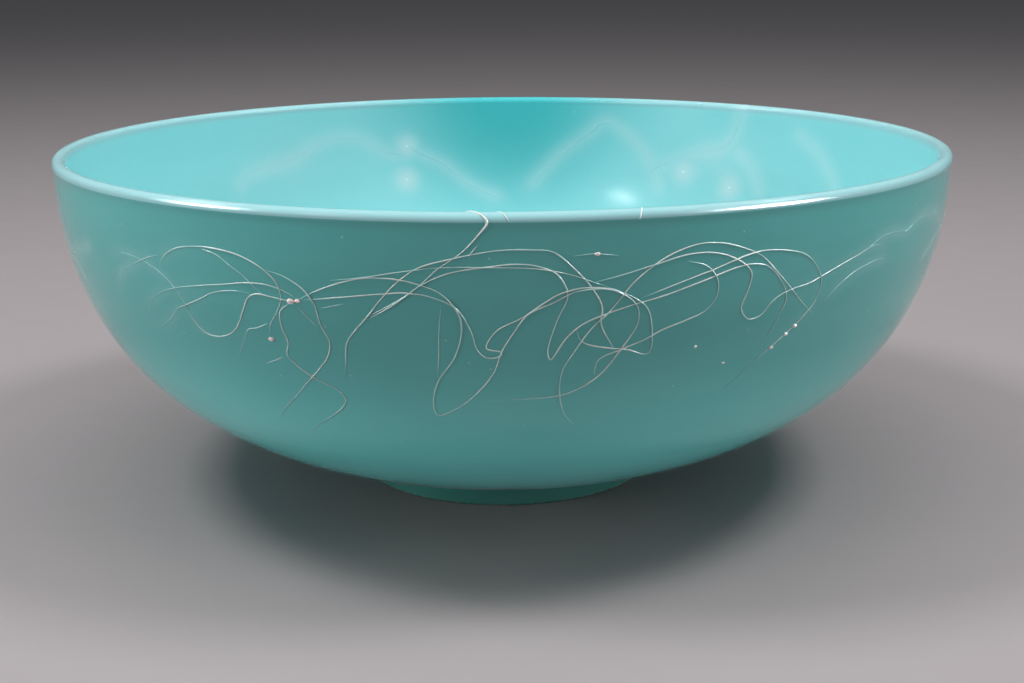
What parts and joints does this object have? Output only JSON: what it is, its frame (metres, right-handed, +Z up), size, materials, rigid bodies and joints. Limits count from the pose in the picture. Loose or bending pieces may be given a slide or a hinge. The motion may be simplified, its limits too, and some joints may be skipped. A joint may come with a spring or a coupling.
{
  "type": "art glass bowl",
  "caption": "Wide open bowl of blown opaque turquoise glass on a low applied foot ring, trailed with fine white glass threads and small beads.",
  "frame": {"origin": "middle of the foot ring, on the surface the bowl rests on", "axes": "+Z up the bowl's axis; -Y towards the front, where the threads cross in the thickest garland; +X to the right"},
  "size_m": [0.2524, 0.2533, 0.0977],
  "materials": {
    "turquoise_glass": "opaque opaline blown glass, fire-polished gloss",
    "foot_glass": "opaque opaline glass, gloss, worn satin on the resting edge",
    "white_thread_glass": "opaque white glass cane, melted gloss",
    "white_bead_glass": "opaque white glass drops, melted gloss"
  },
  "bodies": {
    "root": {"bowl_wall": "turquoise_glass", "foot_ring": "foot_glass", "lip_trail": "white_thread_glass", "high_arch": "white_thread_glass", "low_arch": "white_thread_glass", "garland_over": "white_thread_glass", "garland_under": "white_thread_glass", "rising_trail": "white_thread_glass", "hook_trail": "white_thread_glass", "drop_loop": "white_thread_glass", "knotted_trail": "white_thread_glass", "bead_drop": "white_thread_glass", "bead_arm": "white_thread_glass", "long_hook": "white_thread_glass", "bead_tail": "white_thread_glass", "fine_arch": "white_thread_glass", "right_veil": "white_thread_glass", "right_tress": "white_thread_glass", "side_branch": "white_thread_glass", "left_bow": "white_thread_glass", "left_swag": "white_thread_glass", "far_left_rise": "white_thread_glass", "bead_link": "white_thread_glass", "left_squiggle": "white_thread_glass", "fine_drop": "white_thread_glass", "chip_left": "white_thread_glass", "chip_mid": "white_thread_glass", "lip_fork": "white_thread_glass", "lip_crossing_middle": "white_thread_glass", "lip_crossing_right": "white_thread_glass", "whisker_right": "white_thread_glass", "back_swag_right": "white_thread_glass", "back_loop_right": "white_thread_glass", "back_swag_middle": "white_thread_glass", "back_loop_middle": "white_thread_glass", "back_swag_left": "white_thread_glass", "back_loop_left": "white_thread_glass", "back_trail_left": "white_thread_glass", "back_rise": "white_thread_glass", "inner_arch_left": "white_thread_glass", "inner_slope_left": "white_thread_glass", "inner_peak": "white_thread_glass", "inner_rise_right": "white_thread_glass", "inner_fall_right": "white_thread_glass", "inner_far_right": "white_thread_glass", "inner_front_bow": "white_thread_glass", "bead_main": "white_bead_glass", "bead_main_small": "white_bead_glass", "bead_drop_end": "white_bead_glass", "bead_right": "white_bead_glass", "knot_upper": "white_bead_glass", "knot_middle": "white_bead_glass", "knot_lower": "white_bead_glass", "inner_knot_left": "white_bead_glass", "inner_knot_upper": "white_bead_glass", "inner_knot_right": "white_bead_glass", "inner_knot_lower": "white_bead_glass", "speck_dash": "white_bead_glass", "speck_low": "white_bead_glass"}
  },
  "joints": []
}
